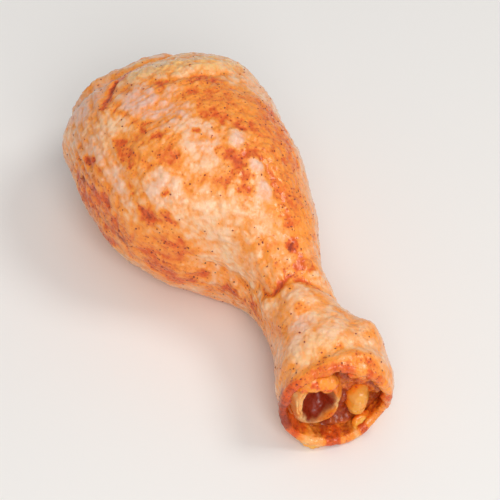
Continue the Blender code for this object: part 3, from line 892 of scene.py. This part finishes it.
def make_bone():
    """The shank bone: a knee plateau with two shallow seats, and a ring of bone round a hollow."""
    ends = np.concatenate([np.linspace(-5.8, 4, 24), np.linspace(8, 90, 10), np.linspace(93, 106.4, 30)])
    along, angle = grid(ends, BONE_AROUND)
    shaft = strand_frame(BONE_STATIONS, along, angle)
    knee_middle, hock_middle = shaft[0].mean(axis=0), shaft[-1].mean(axis=0)
    _, forward, side, up = spine(np.array(ends[-1]))
    notch = 0.13 * bell(past_turn(angle[0], 90), 0.5) + 0.10 * bell(past_turn(angle[0], 270), 0.4)
    pull = (ease((6 - along) / 9) * notch)[..., None]
    shaft = shaft - pull * (shaft - shaft.mean(axis=1, keepdims=True)) * np.array([0, 1, 1])
    knee, hock, dark = [], [], []
    knee_shares = cap_shares(26)[1:]
    for share in knee_shares:
        ring = knee_middle + (shaft[0] - knee_middle) * (1 - share)
        seat = (ring[:, 1] - knee_middle[1]) / 7.0
        dip = 0.9 * np.exp(-((np.abs(seat) - 0.55) / 0.32) ** 2) - 0.7 * np.exp(-((seat / 0.14) ** 2))
        edge = math.sqrt(1 - (1 - min(share / 0.24, 1)) ** 2)
        ring[:, 0] += dip * ease(share / 0.3) - 1.7 * edge - 0.3 * math.sin(share * TURN / 4)
        knee.append(ring)
    for share in cap_shares(46)[1:]:
        ring = hock_middle + (shaft[-1] - hock_middle) * (1 - share)
        off = ring - hock_middle
        right = off @ side - HOLLOW_SHIFT[0] * ease(share / 0.2)
        above = off @ up - HOLLOW_SHIFT[1] * ease(share / 0.2)
        radius = np.hypot(right / HOLLOW_SIZE[0], above / HOLLOW_SIZE[1])
        radius *= 1 + 0.10 * mottle(ring, 3.0, 74, 2)
        gap = bell(turned_near(np.arctan2(above, right), -1.0) + 1.0, 0.55)
        cup = -HOLLOW_DEPTH * np.clip(1.02 - radius**2, 0, 1)
        lip = 0.6 * math.sin(min(share / 0.24, 1) * math.pi) * (1 - 2.2 * gap)
        lip += 0.5 * mottle(ring, 2.4, 75, 2) * ease(share / 0.1)
        ring = ring + (cup + lip - 1.6 * gap * ease(share / 0.12))[:, None] * forward
        hock.append(ring)
        # Dark marrow in the hollow, thinner towards its top; painted shade in the notch toward the
        # tendon.
        soft = ease((1.05 + 0.06 * mottle(ring, 1.6, 78, 2) - radius) / 0.18)
        soft *= 1 - 0.4 * ease((above + 0.5) / 4)
        dark.append(np.maximum(soft, 0.9 * gap * ease(share / 0.12)))
    points = np.concatenate([np.array(knee)[::-1], shaft, np.array(hock)])
    rough = 0.16 * mottle(points, 1.5, 71, 3) + 0.3 * mottle(points, 5, 72, 2)
    points = points + out_of(points) * rough[..., None]
    bone = tube_mesh("shank_bone", points, capped=True)
    cartilage, hollow = np.zeros((2, *points.shape[:2]))
    cartilage[: len(knee) + CARTILAGE_ROWS] = 1
    # hollow: the marrow, and painted shade in the notch
    hollow[-len(hock):] = dark
    off = points - hock_middle
    turn = np.arctan2(off @ up, off @ side)
    pale = np.maximum(bell(past_turn(turn, 205), 0.85), 0.55 * bell(past_turn(turn, -8), 0.3))
    pale *= 1 - 0.8 * stained(points, 1.2, 2.5)
    rub = 0.80 - 0.62 * np.maximum(pale, 0.7 * cartilage) + 0.3 * mottle(points, 3, 73, 3)
    to_rim = np.concatenate([(1 - knee_shares)[::-1], np.ones(len(ends)), np.zeros(len(hock))])[:, None]
    rub += 0.55 * cartilage * to_rim**2 * (0.7 + 0.7 * mottle(points, 2.6, 77, 2))
    # Darker on the bone's underside near the cut, and random stains on the cartilage.
    underside_dark_and_stains = 0.5 * bell(past_turn(turn, 268), 0.8) * ease((points[..., 0] - 60) / 5)
    underside_dark_and_stains += 0.35 * cartilage * ease(mottle(points, 4, 76, 3) - 0.1)
    paint(bone, "bone", cartilage, hollow, rub)
    paint(bone, "underside_dark_and_stains", underside_dark_and_stains)
    return bone


def make_tendon():
    ends = np.concatenate([np.linspace(66, 96, 6), np.linspace(99, 106, 16)])
    along, angle = grid(ends, TENDON_AROUND)
    strap = strand_frame(TENDON_STATIONS, along, angle, 0.3 * ease((along - 97) / 5))
    _, ahead, side, up = spine(along)
    at_cut = ease((along - 97) / 8)[..., None]
    lean = 0.14 * ((strap - strap.mean(axis=1, keepdims=True)) * up).sum(axis=-1, keepdims=True)
    strap = strap + at_cut * (1.1 * ahead + (0.7 + lean) * side)
    start, middle = strap[0].mean(axis=0), strap[-1].mean(axis=0)
    _, forward, _, _ = spine(np.array(ends[-1]))
    cap = [
        middle + (strap[-1] - middle) * (1 - share) + forward * 0.9 * math.sin(share * TURN / 4)
        for share in cap_shares(14)[1:]
    ]
    tip = start + (strap[0] - start) * 0.3
    points = np.concatenate([tip[None], strap, np.array(cap)])
    fibres = mottle(points * np.array([0.3, 1.6, 1.6]), 1.2, 81, 2)
    points = points + out_of(points) * (0.16 * fibres + 0.25 * mottle(points, 3, 82))[..., None]
    tendon = tube_mesh("heel_tendon", points, capped=True)
    rub = 0.25 + 0.5 * mottle(points, 2.2, 83, 3) + 0.9 * stained(points, 0.6, 2.4)
    paint(tendon, "strand", 0.3 + 0.5 * fibres, rub)
    return tendon


def hock_place(along, right, above):
    """A point by its distance along the spine and its offset from it."""
    centre, _, side, up = spine(np.array(float(along)))
    return centre + side * right + up * above


def stained(points, start=0.0, run=3.0):
    """How much marinade has soaked in behind the cut: 0 at its front, 1 a few millimetres back."""
    centre, ahead, _, _ = spine(np.array(LENGTH - RECESS))
    behind = (centre - points) @ ahead
    return ease((behind - start) / run)


# Fat and loose tissue that edge the cut joint: rows of (distance, right, above, radius).
FAT_RIBBONS = (
    (
        (108.8, -10.4, -8.2, 0.7), (109.4, -8.4, -10.9, 1.1), (109.8, -5.9, -12.3, 1.3),
        (109.8, -3.6, -12.6, 0.9),
    ),
    ((108.9, 1.8, -13.2, 0.7), (108.6, 3.6, -12.6, 1.2), (108.0, 5.2, -11.6, 0.9)),
    ((107.6, 4.8, -10.2, 0.7), (106.8, 6.4, -9.6, 1.1), (106.0, 8.2, -8.4, 0.7)),
)
LOOSE_RIBBONS = (
    ((107.0, -9.9, 4.9, 1.0), (107.6, -7.7, 6.9, 1.8), (108.0, -5.0, 7.6, 2.2), (108.1, -2.5, 6.9, 2.1)),
    ((107.5, 2.8, 8.9, 1.0), (107.5, 4.6, 8.8, 1.6), (107.2, 6.8, 7.8, 1.2)),
)


def make_ribbons(name, ribbons, seed):
    """Soft rolls through rows of places, melted together into closed surfaces."""
    cluster = bmesh.new()
    for row in ribbons:
        row = np.array(row)
        count = 9 * (len(row) - 1)
        at = np.linspace(0, len(row) - 1, count)
        along, right, above, radius = (hermite(np.arange(len(row)), row[:, k], at) for k in range(4))
        for k in range(count):
            place = Vector(hock_place(along[k], right[k], above[k]) * MM)
            size = radius[k] * (1 + 0.22 * math.sin(2.1 * k + seed)) * MM
            where = Matrix.Translation(place)
            bmesh.ops.create_icosphere(cluster, subdivisions=3, radius=size, matrix=where)
    mesh = bpy.data.meshes.new(name)
    cluster.to_mesh(mesh)
    cluster.free()
    rough = new_object(name + "_rough", mesh)
    melt = rough.modifiers.new("melt", "REMESH")
    melt.mode = "VOXEL"
    melt.voxel_size = 0.2 * MM
    smooth = rough.modifiers.new("smooth", "SMOOTH")
    smooth.factor = 0.6
    smooth.iterations = 6
    made = plain_copy(rough, name)
    bpy.data.objects.remove(rough)
    points = vertex_points(made)
    push = 0.28 * mottle(points, 1.8, seed, 2) + 0.12 * mottle(points, 0.9, seed + 1)
    points += read_all(made.data.vertices, "normal", 3) * push[:, None]
    points[:, 2] = np.maximum(points[:, 2], FLOOR_CLEARANCE)
    made.data.vertices.foreach_set("co", (points * MM).ravel())
    made.data.update()
    rub = 0.42 + 0.35 * mottle(points, 2.0, seed + 3, 3) + 0.5 * stained(points, -1.6, 2.6)
    paint(made, "strand", 0.3 + 0.4 * mottle(points, 2.0, seed + 2, 2), rub)
    return made


def read_all(source, key, width, kind=np.float64):
    """One value of this width from everything in a Blender collection, a row each."""
    values = np.zeros(len(source) * width, kind)
    source.foreach_get(key, values)
    return values.reshape(-1, width)


def vertex_points(made):
    return read_all(made.data.vertices, "co", 3) / MM


def colour_layer(made, name, index):
    return read_all(made.data.attributes[name].data, "color", 4, np.float32)[:, index]


def plain_copy(source, name):
    """A new object whose mesh is the source's with all its modifiers applied."""
    graph = bpy.context.evaluated_depsgraph_get()
    mesh = bpy.data.meshes.new_from_object(source.evaluated_get(graph))
    mesh.name = name
    mesh.shade_smooth()
    return new_object(name, mesh)


# ---- node trees ----------------------------------------------------
def feed(tree, socket, value):
    """Links another socket to this one, or sets its value."""
    if isinstance(value, bpy.types.NodeSocket):
        tree.links.new(value, socket)
    else:
        socket.default_value = value


def add(tree, kind, inputs=None, **settings):
    """A node with its settings, and its inputs by name or number."""
    node = tree.nodes.new(kind)
    for name, value in settings.items():
        setattr(node, name, value)
    for key, value in (inputs or {}).items():
        feed(tree, node.inputs[key], value)
    return node


def new_group(kind, name, inputs, outputs):
    """A node group with these sockets, and the nodes that it begins and ends with."""
    group = bpy.data.node_groups.new(name, kind)
    for in_out, sockets in (("INPUT", inputs), ("OUTPUT", outputs)):
        for socket, holds in sockets.items():
            group.interface.new_socket(socket, in_out=in_out, socket_type="NodeSocket" + holds)
    return group, add(group, "NodeGroupInput"), add(group, "NodeGroupOutput")


def math_node(tree, operation, *values):
    return add(tree, "ShaderNodeMath", dict(enumerate(values)), operation=operation).outputs[0]


def mix_colour(tree, share, first, second):
    return add(tree, "ShaderNodeMix", {0: share, 6: first, 7: second}, data_type="RGBA").outputs[2]


def ramp(tree, value, low, high):
    inputs = {"Value": value, "From Min": low, "From Max": high}
    return add(tree, "ShaderNodeMapRange", inputs, interpolation_type="SMOOTHSTEP").outputs["Result"]


def noise(tree, place, size_mm, detail=3.0, rough=0.55):
    inputs = {"Vector": place, "Scale": 1 / (size_mm * MM), "Detail": detail, "Roughness": rough}
    return add(tree, "ShaderNodeTexNoise", inputs).outputs["Fac"]


def painted(tree, name):
    """The three layers of a colour attribute."""
    node = add(tree, "ShaderNodeAttribute", attribute_name=name)
    return add(tree, "ShaderNodeSeparateColor", {0: node.outputs["Color"]}).outputs[:3]


def make_marinade_group():
    """Marinade over any bare surface: with more of it the bare colour turns orange, red, then dark; the
    Deep input darkens it as well, for dark stains and for painted shade.
    """
    group, enter, leave = new_group(
        "ShaderNodeTree",
        "marinade",
        {"Bare": "Color", "Amount": "Float", "Deep": "Float"},
        {"Colour": "Color", "Cover": "Float", "Grain": "Float"},
    )

    def calc(*what):
        return math_node(group, *what)

    place = add(group, "ShaderNodeTexCoord").outputs["Object"]
    speck = calc("SUBTRACT", noise(group, place, 1.1, 4.0, 0.65), 0.5)
    grain = noise(group, place, 0.30, 2.0, 0.5)
    ragged = calc("MULTIPLY_ADD", speck, 0.6, enter.outputs["Amount"])
    ragged = calc("MULTIPLY_ADD", calc("SUBTRACT", grain, 0.5), 0.12, ragged)
    film = calc("MULTIPLY", ramp(group, ragged, 0.05, 0.70), 0.95)
    cover = ramp(group, ragged, 0.62, 1.10)
    colour = mix_colour(group, film, enter.outputs["Bare"], linear("oil"))
    colour = mix_colour(group, cover, colour, linear("rub"))
    specks = add(group, "ShaderNodeTexVoronoi", {"Scale": 1 / (0.85 * MM), "Vector": place})
    lot = add(group, "ShaderNodeSeparateColor", {0: specks.outputs["Color"]}).outputs[0]
    chosen = calc("MULTIPLY", ramp(group, lot, 0.45, 0.75), ramp(group, ragged, 0.35, 0.9))
    dust = calc("MULTIPLY", ramp(group, specks.outputs["Distance"], 0.42, 0.20), chosen)
    colour = mix_colour(group, calc("MULTIPLY", dust, 0.7), colour, linear("spice"))
    # Darker still where the Deep input asks, for dark stains and painted shade alike, and where the rub
    # lies thickest.
    dark = calc("MULTIPLY_ADD", speck, 0.8, enter.outputs["Deep"])
    dark = calc("MAXIMUM", ramp(group, dark, 0.25, 0.9), ramp(group, ragged, 1.05, 1.45))
    colour = mix_colour(group, calc("MULTIPLY", dark, 0.85), colour, linear("dark_rub_and_shade"))
    for name, value in (("Colour", colour), ("Cover", cover), ("Grain", calc("MULTIPLY", grain, cover))):
        feed(group, leave.inputs[name], value)
    return group


def new_material(name, values):
    """A material, its tree, its shader with these values on its own sockets, and Object coordinates."""
    material = bpy.data.materials.new(name)
    material.use_nodes = True
    tree = material.node_tree
    surface = tree.nodes["Principled BSDF"]
    for socket, value in values.items():
        surface.inputs[socket].default_value = value
    return material, tree, surface, add(tree, "ShaderNodeTexCoord").outputs["Object"]


def wet_material(name, roughness, scatter, scatter_radius, coat, coat_roughness):
    """A moist, slightly see-through surface; its colour and bump are wired in by the caller."""
    return new_material(name, {
        "Roughness": roughness,
        "IOR": WET_IOR,
        "Subsurface Weight": scatter,
        "Subsurface Radius": scatter_radius,
        "Subsurface Scale": SCATTER_REACH * MM,
        "Coat Weight": coat,
        "Coat Roughness": coat_roughness,
        "Coat IOR": WET_IOR,
    })


def marinate(tree, surface, group, bare, amount, deep=0.0):
    """Colours a surface as marinade over the bare colour; the rub's cover and its grain."""
    inputs = {"Bare": bare, "Amount": amount, "Deep": deep}
    node = add(tree, "ShaderNodeGroup", inputs, node_tree=group)
    feed(tree, surface.inputs["Base Color"], node.outputs["Colour"])
    return node.outputs["Cover"], node.outputs["Grain"]


def bump(tree, surface, height, distance_mm, strength):
    inputs = {"Strength": strength, "Distance": distance_mm * MM, "Height": height}
    feed(tree, surface.inputs["Normal"], add(tree, "ShaderNodeBump", inputs).outputs["Normal"])


def skin_material(marinade):
    scatter_radius = (1.0, 0.42, 0.22)
    material, tree, surface, place = wet_material("raw_skin", 0.34, 0.35, scatter_radius, 0.65, 0.13)
    # deep: dark marks, with painted shade and shadow
    stored, deep, _ = painted(tree, "marinade")
    fat, grey, _ = painted(tree, "tone")
    veined = ramp(tree, noise(tree, place, 3.5, 4.0, 0.6), 0.35, 0.75)
    yellowed = math_node(tree, "MULTIPLY", veined, 0.35)
    bare = mix_colour(tree, yellowed, linear("bare_skin"), linear("fat_skin"))
    bare = mix_colour(tree, fat, bare, linear("fat_skin"))
    # the grey tone, partly painted sheen
    bare = mix_colour(tree, math_node(tree, "MULTIPLY", grey, 0.9), bare, linear("grey_skin_and_sheen"))
    amount = math_node(tree, "DIVIDE", stored, STORED_SHARE)
    cover, grain = marinate(tree, surface, marinade, bare, amount, deep)
    feed(tree, surface.inputs["Roughness"], math_node(tree, "MULTIPLY_ADD", cover, 0.16, 0.28))
    wobble = add(tree, "ShaderNodeTexNoise", {"Scale": 1 / (1.6 * MM), "Vector": place})
    shifted = {0: wobble.outputs["Color"], 1: (0.9 * MM,) * 3, 2: place}
    shifted = add(tree, "ShaderNodeVectorMath", shifted, operation="MULTIPLY_ADD")
    crinkle = {"Scale": 1 / (1.3 * MM), "Smoothness": 0.25, "Vector": shifted.outputs[0]}
    crinkle = add(tree, "ShaderNodeTexVoronoi", crinkle, feature="SMOOTH_F1")
    height = math_node(tree, "MULTIPLY_ADD", noise(tree, place, 0.8, 3.0, 0.6), 0.7, grain)
    height = math_node(tree, "MULTIPLY_ADD", crinkle.outputs["Distance"], -0.8, height)
    bump(tree, surface, height, 0.34, 0.95)
    return material


def meat_material(marinade):
    material, tree, surface, place = wet_material("raw_meat", 0.34, 0.3, (1.0, 0.25, 0.12), 0.7, 0.1)
    sinew, rub, fibre = painted(tree, "flesh")
    flesh = mix_colour(tree, fibre, linear("meat_dark"), linear("meat"))
    flesh = mix_colour(tree, math_node(tree, "MULTIPLY", sinew, 0.75), flesh, linear("sinew"))
    amount = math_node(tree, "MULTIPLY", rub, 0.9)
    # the depth layer darkens the meat in the hock's recess, partly painted shade
    _, grain = marinate(tree, surface, marinade, flesh, amount, painted(tree, "depth")[0])
    bump(tree, surface, math_node(tree, "ADD", noise(tree, place, 0.8, 4.0, 0.65), grain), 0.35, 0.9)
    return material


def bone_material(marinade):
    material, tree, surface, place = wet_material("raw_bone", 0.36, 0.3, (1.0, 0.6, 0.4), 0.5, 0.14)
    cartilage, hollow, rub = painted(tree, "bone")
    plain = mix_colour(tree, cartilage, linear("bone"), linear("cartilage"))
    # the hollow layer: marrow, and painted shade in the notch toward the tendon
    bare = mix_colour(tree, hollow, plain, linear("marrow"))
    on_cartilage = math_node(tree, "MULTIPLY_ADD", cartilage, -0.3, 1.0)
    out_of_hollow = math_node(tree, "MULTIPLY_ADD", hollow, -1.0, 1.0)
    amount = math_node(tree, "MULTIPLY", math_node(tree, "MULTIPLY", rub, on_cartilage), out_of_hollow)
    # its Deep input: the bone darker on its underside near the cut, and stains on the cartilage
    marinate(tree, surface, marinade, bare, amount, painted(tree, "underside_dark_and_stains")[0])
    bump(tree, surface, noise(tree, place, 0.5, 3.0, 0.6), 0.2, 0.7)
    return material


def strand_material(marinade, name, bare_name, share):
    material, tree, surface, place = wet_material(name, 0.3, 0.35, (1.0, 0.55, 0.25), 0.6, 0.1)
    fibre, rub, _ = painted(tree, "strand")
    bare = mix_colour(tree, math_node(tree, "MULTIPLY", fibre, 0.4), linear(bare_name), linear("sinew"))
    marinate(tree, surface, marinade, bare, math_node(tree, "MULTIPLY", rub, share))
    bump(tree, surface, noise(tree, place, 0.5, 3.0, 0.6), 0.15, 0.6)
    return material


def flake_material(name, colour_name):
    values = {"Roughness": 0.42, "Coat Weight": 0.4, "Coat Roughness": 0.2}
    material, tree, surface, place = new_material(name, values)
    full = linear(colour_name)
    dark = (*(0.45 * c for c in full[:3]), 1.0)
    shade = ramp(tree, noise(tree, place, 1.1), 0.3, 0.7)
    feed(tree, surface.inputs["Base Color"], mix_colour(tree, shade, dark, full))
    return material


# ---- what repeats: spice flakes ------------------------------------
def make_flake_tree():
    """Scatters flat, crooked flakes over a surface, closer together where its flake_share is high."""
    tree, enter, leave = new_group(
        "GeometryNodeTree",
        "scattered_flakes",
        {
            "Geometry": "Geometry",
            "Density": "Float",
            "Flake Size": "Float",
            "Seed": "Int",
            "Material": "Material",
        },
        {"Geometry": "Geometry"},
    )
    seed = enter.outputs["Seed"]
    share = add(tree, "GeometryNodeInputNamedAttribute", {"Name": "flake_share"}, data_type="FLOAT")
    density = math_node(tree, "MULTIPLY", share.outputs["Attribute"], enter.outputs["Density"])
    scatter = {"Mesh": enter.outputs["Geometry"], "Density": density, "Seed": seed}
    scatter = add(tree, "GeometryNodeDistributePointsOnFaces", scatter, distribute_method="RANDOM")
    ball = add(tree, "GeometryNodeMeshIcoSphere", {"Radius": 0.5, "Subdivisions": 1})
    flake = {"Geometry": ball.outputs["Mesh"], "Scale": (1.0, 0.7, 0.3)}
    flake = add(tree, "GeometryNodeTransform", flake)
    grown = add(tree, "FunctionNodeRandomValue", {2: 0.45, 3: 1.35, "Seed": seed}, data_type="FLOAT")
    tilt = {0: (-0.5, -0.5, 0.0), 1: (0.5, 0.5, TURN), "Seed": seed}
    tilt = add(tree, "FunctionNodeRandomValue", tilt, data_type="FLOAT_VECTOR").outputs[0]
    tilt = add(tree, "FunctionNodeEulerToRotation", {0: tilt}).outputs[0]
    turned = {0: scatter.outputs["Rotation"], 1: tilt}
    turned = add(tree, "FunctionNodeRotateRotation", turned, rotation_space="LOCAL")
    place = add(tree, "GeometryNodeInstanceOnPoints", {
        "Points": scatter.outputs["Points"],
        "Instance": flake.outputs["Geometry"],
        "Rotation": turned.outputs[0],
        "Scale": math_node(tree, "MULTIPLY", grown.outputs[1], enter.outputs["Flake Size"]),
    })
    real = add(tree, "GeometryNodeRealizeInstances", {0: place.outputs["Instances"]})
    coat = {"Geometry": real.outputs["Geometry"], "Material": enter.outputs["Material"]}
    coat = add(tree, "GeometryNodeSetMaterial", coat)
    feed(tree, leave.inputs[0], coat.outputs["Geometry"])
    return tree


def scatter_flakes(tree, name, surface, share, values):
    """A piece of flakes that lie on a surface, thicker where the share given for its vertices is."""
    attribute = surface.data.attributes.new("flake_share", "FLOAT", "POINT")
    attribute.data.foreach_set("value", np.clip(share, 0, 1).astype(np.float32))
    modifier = surface.modifiers.new("flakes", "NODES")
    modifier.node_group = tree
    sockets = {item.name: item.identifier for item in tree.interface.items_tree if item.in_out == "INPUT"}
    for key, value in values.items():
        modifier[sockets[key]] = value
    made = plain_copy(surface, name)
    surface.modifiers.remove(modifier)
    surface.data.attributes.remove(surface.data.attributes["flake_share"])
    return made


# ---- camera, light and floor ---------------------------------------
CAMERA_SIDE = (56.6, 45.35)  # azimuth and elevation in degrees
CAMERA_ROLL = -3.4
CAMERA_DISTANCE_M = 0.751
CAMERA_AIM = (23.0, -3.0, 20.0)
CAMERA_LENS = 212.0
LIGHT_AIM = (20.0, 0.0, 20.0)
# Name, azimuth and elevation, distance and size in metres, watts, colour.
LIGHTS = (
    ("key", (155.0, 57.0), 0.9, 0.34, 2.2, (1.0, 0.98, 0.95)),
    ("front", (66.0, 40.0), 1.0, 0.6, 5.0, (1.0, 0.99, 0.98)),
    ("top", (60.0, 85.0), 1.0, 0.7, 0.8, (1.0, 1.0, 1.0)),
)
WORLD_COLOUR = (1.0, 0.99, 0.98, 1.0)
WORLD_STRENGTH = 0.39
FLOOR_REACH_M = 2.0


def set_facing(made, aim, side, distance_m, roll=0.0):
    """Sets an object this far from its aim, on this side of it, and turns it to face the aim."""
    a, e = np.radians(side)
    back = Vector((math.sin(a) * math.cos(e), -math.cos(a) * math.cos(e), math.sin(e)))
    made.location = Vector(aim) * MM + back * distance_m
    turn = (-back).to_track_quat("-Z", "Y").to_matrix() @ Matrix.Rotation(math.radians(-roll), 3, "Z")
    made.rotation_mode = "QUATERNION"
    made.rotation_quaternion = turn.to_quaternion()


def make_camera():
    camera = new_object("camera", bpy.data.cameras.new("camera"))
    set_facing(camera, CAMERA_AIM, CAMERA_SIDE, CAMERA_DISTANCE_M, CAMERA_ROLL)
    camera.data.lens = CAMERA_LENS
    camera.data.sensor_width = 36.0
    camera.data.clip_start = 0.01
    camera.data.clip_end = 20.0
    bpy.context.scene.camera = camera


def make_studio():
    for name, side, distance_m, size_m, power_w, colour in LIGHTS:
        light = bpy.data.lights.new(name, "AREA")
        light.shape = "DISK"
        light.size = size_m
        light.energy = power_w
        light.color = colour
        set_facing(new_object(name, light), LIGHT_AIM, side, distance_m)
    world = bpy.data.worlds.new("studio")
    bpy.context.scene.world = world
    world.use_nodes = True
    background = world.node_tree.nodes["Background"]
    background.inputs["Color"].default_value = WORLD_COLOUR
    background.inputs["Strength"].default_value = WORLD_STRENGTH
    bpy.context.scene.view_settings.view_transform = "Standard"

    reach = FLOOR_REACH_M
    mesh = bpy.data.meshes.new("floor")
    corners = [(-reach, -reach, 0), (reach, -reach, 0), (reach, reach, 0), (-reach, reach, 0)]
    mesh.from_pydata(corners, [], [(0, 1, 2, 3)])
    floor = new_object("floor", mesh)
    material, *_ = new_material("pale_floor", {"Base Color": linear("floor"), "Roughness": 0.45})
    floor.data.materials.append(material)


# ---- putting it together -------------------------------------------
def finish_piece(made, material, slot, *nodes):
    if material is not None:
        made.data.materials.clear()
        made.data.materials.append(material)
    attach(made, BODY)
    if nodes:
        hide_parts(*nodes)


def main():
    marinade = make_marinade_group()
    skin = make_skin()
    meat = make_meat()
    bone = make_bone()
    tendon = make_tendon()
    fat = make_ribbons("fat_edges", FAT_RIBBONS, 91)
    loose = make_ribbons("loose_tissue", LOOSE_RIBBONS, 101)
    finish_piece(skin, skin_material(marinade), "skin", "skin")
    finish_piece(meat, meat_material(marinade), "meat", "meat")
    finish_piece(bone, bone_material(marinade), "bone", "bone")
    finish_piece(tendon, strand_material(marinade, "raw_tendon", "tendon", 0.9), "tendon", "tendon")
    finish_piece(fat, strand_material(marinade, "raw_fat", "fat", 1.0), "tendon")
    finish_piece(loose, strand_material(marinade, "loose_tissue", "oil", 1.5), "skin")

    flake_tree = make_flake_tree()
    rub = np.clip(colour_layer(skin, "marinade", 0) / STORED_SHARE, 0, 1)
    lining = (colour_layer(skin, "tone", 0) > 0.98) | (vertex_points(skin)[:, 2] < 1.0)
    for name, share, density, seed, colour in (
        ("red", rub**2 + 0.04, RED_FLAKES, 5, "flake_red"),
        ("dark", rub + 0.06, DARK_FLAKES, 9, "flake_dark"),
    ):
        made = scatter_flakes(flake_tree, name + "_flakes", skin, np.where(lining, 0, share), {
            "Density": density,
            "Flake Size": FLAKE_SIZE_M,
            "Seed": seed,
            "Material": flake_material(name + "_spice", colour),
        })
        finish_piece(made, None, "skin")


main()
make_camera()
make_studio()
